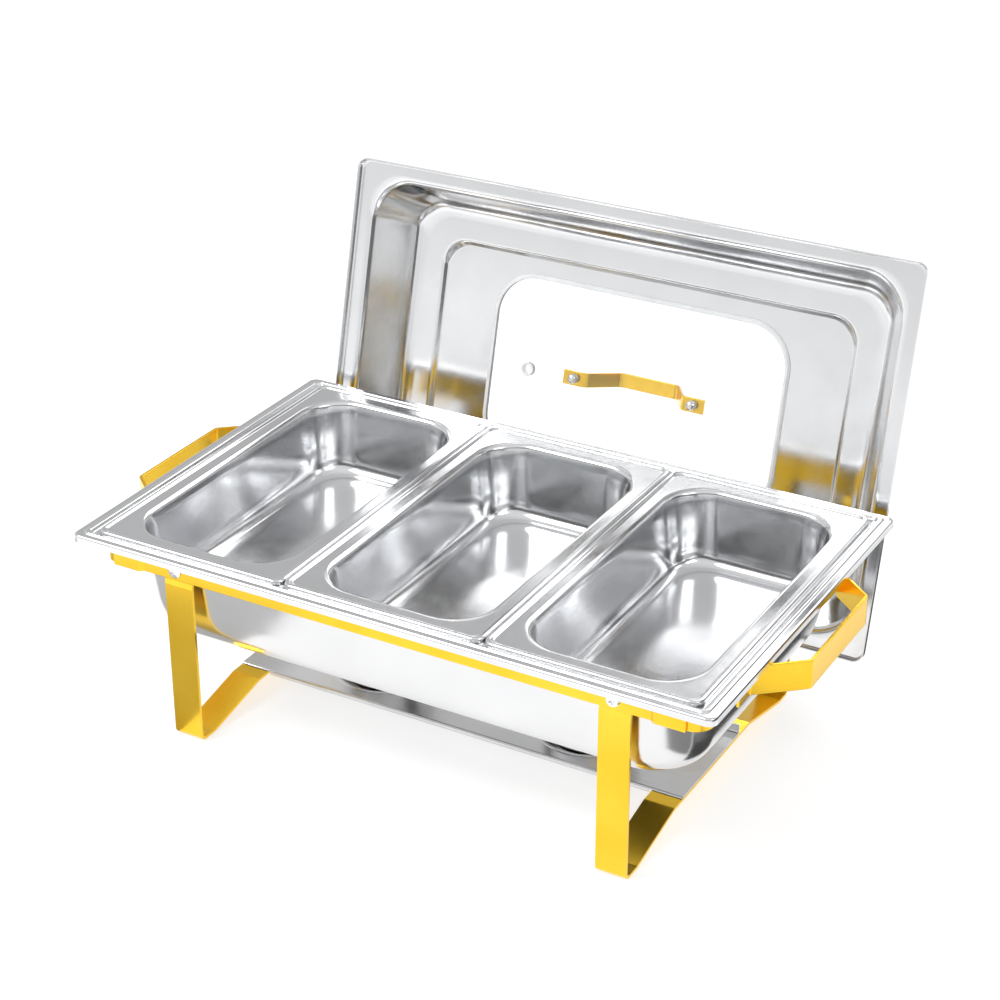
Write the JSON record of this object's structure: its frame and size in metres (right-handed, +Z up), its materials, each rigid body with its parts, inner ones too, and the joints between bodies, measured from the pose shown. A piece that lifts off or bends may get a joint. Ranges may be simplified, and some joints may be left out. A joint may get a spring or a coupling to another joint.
{
  "type": "buffet chafer",
  "caption": "Rectangular buffet chafer: food pans side by side in a water pan, folding strap frame with side handles, fuel shelf, and a windowed lid standing behind.",
  "frame": {"origin": "middle of the whole object's footprint, standing lid included, on the table", "axes": "+X to the right along the long side, +Y from the diner's side to the standing lid, +Z up"},
  "size_m": [0.6076, 0.4738, 0.3685],
  "materials": {
    "gold_strap": "bright gold-coloured plating on flat steel bar, glossy",
    "polished_steel": "mirror-polished drawn stainless sheet",
    "satin_steel": "bright stainless sheet with a fine brushed grain",
    "chrome_hardware": "bright plated screws and nuts",
    "silicone": "pale grey translucent silicone, satin",
    "clear_glass": "clear tempered glass"
  },
  "bodies": {
    "frame": {"front_rail": "gold_strap", "rear_rail": "gold_strap", "end_strap_left": "gold_strap", "end_strap_right": "gold_strap", "side_handle_left": "gold_strap", "side_handle_right": "gold_strap", "lid_hook_left": "gold_strap", "lid_hook_right": "gold_strap", "pivot_screw_front_left": "chrome_hardware", "pivot_screw_front_right": "chrome_hardware", "pivot_screw_rear_left": "chrome_hardware", "pivot_screw_rear_right": "chrome_hardware", "pivot_nut_front_left": "chrome_hardware", "pivot_nut_front_right": "chrome_hardware", "pivot_nut_rear_left": "chrome_hardware", "pivot_nut_rear_right": "chrome_hardware"},
    "water_pan": {"water_pan": "polished_steel"},
    "leg_left": {"leg_left": "gold_strap"},
    "leg_right": {"leg_right": "gold_strap"},
    "shelf": {"burner_shelf": "satin_steel"},
    "fuel_cup_left": {"fuel_cup_left": "satin_steel"},
    "fuel_cup_right": {"fuel_cup_right": "satin_steel"},
    "fuel_cover_left": {"fuel_cover_left": "satin_steel"},
    "fuel_cover_right": {"fuel_cover_right": "satin_steel"},
    "food_pan_left": {"food_pan_left": "polished_steel"},
    "food_pan_centre": {"food_pan_centre": "polished_steel"},
    "food_pan_right": {"food_pan_right": "polished_steel"},
    "lid": {"lid_shell": "polished_steel", "lid_window_gasket": "silicone", "lid_window_glass": "clear_glass", "lid_handle": "gold_strap", "lid_screw_left": "chrome_hardware", "lid_screw_right": "chrome_hardware", "lid_washer_left": "silicone", "lid_washer_right": "silicone", "lid_cap_nut_left": "chrome_hardware", "lid_cap_nut_right": "chrome_hardware", "steam_vent_grommet": "silicone"}
  },
  "joints": [
    {"name": "water_pan_lift", "type": "slide", "parent": "frame", "child": "water_pan", "axis": [0, 0, 1], "range_m": [0, 0.1728]},
    {"name": "leg_left_fold", "type": "hinge", "parent": "frame", "child": "leg_left", "pos_m": [-0.193, -0.06288, 0.1565], "axis": [0, -1, 0], "range_deg": [0, 90]},
    {"name": "leg_right_fold", "type": "hinge", "parent": "frame", "child": "leg_right", "pos_m": [0.193, -0.06288, 0.1565], "axis": [0, 1, 0], "range_deg": [0, 90]},
    {"name": "shelf_lift", "type": "slide", "parent": "frame", "child": "shelf", "axis": [0, 0, 1], "range_m": [0, 0.1728]},
    {"name": "fuel_cup_left_lift", "type": "slide", "parent": "shelf", "child": "fuel_cup_left", "axis": [0, 0, 1], "range_m": [0, 0.006]},
    {"name": "fuel_cup_right_lift", "type": "slide", "parent": "shelf", "child": "fuel_cup_right", "axis": [0, 0, 1], "range_m": [0, 0.006]},
    {"name": "fuel_cover_left_lift", "type": "slide", "parent": "fuel_cup_left", "child": "fuel_cover_left", "axis": [0, 0, 1], "range_m": [0, 0.0035]},
    {"name": "fuel_cover_right_lift", "type": "slide", "parent": "fuel_cup_right", "child": "fuel_cover_right", "axis": [0, 0, 1], "range_m": [0, 0.0035]},
    {"name": "food_pan_left_lift", "type": "slide", "parent": "water_pan", "child": "food_pan_left", "axis": [0, 0, 1], "range_m": [0, 0.08]},
    {"name": "food_pan_centre_lift", "type": "slide", "parent": "water_pan", "child": "food_pan_centre", "axis": [0, 0, 1], "range_m": [0, 0.08]},
    {"name": "food_pan_right_lift", "type": "slide", "parent": "water_pan", "child": "food_pan_right", "axis": [0, 0, 1], "range_m": [0, 0.08]},
    {"name": "lid_lift", "type": "slide", "parent": "frame", "child": "lid", "axis": [0, 0.2419, 0.9703], "range_m": [0, 0.06]}
  ],
  "couplings": [
    {"joint": "leg_left_fold", "follows": "water_pan_lift", "rad_per_m": 9.09},
    {"joint": "leg_right_fold", "follows": "water_pan_lift", "rad_per_m": 9.09},
    {"joint": "shelf_lift", "follows": "water_pan_lift", "ratio": 1}
  ]
}
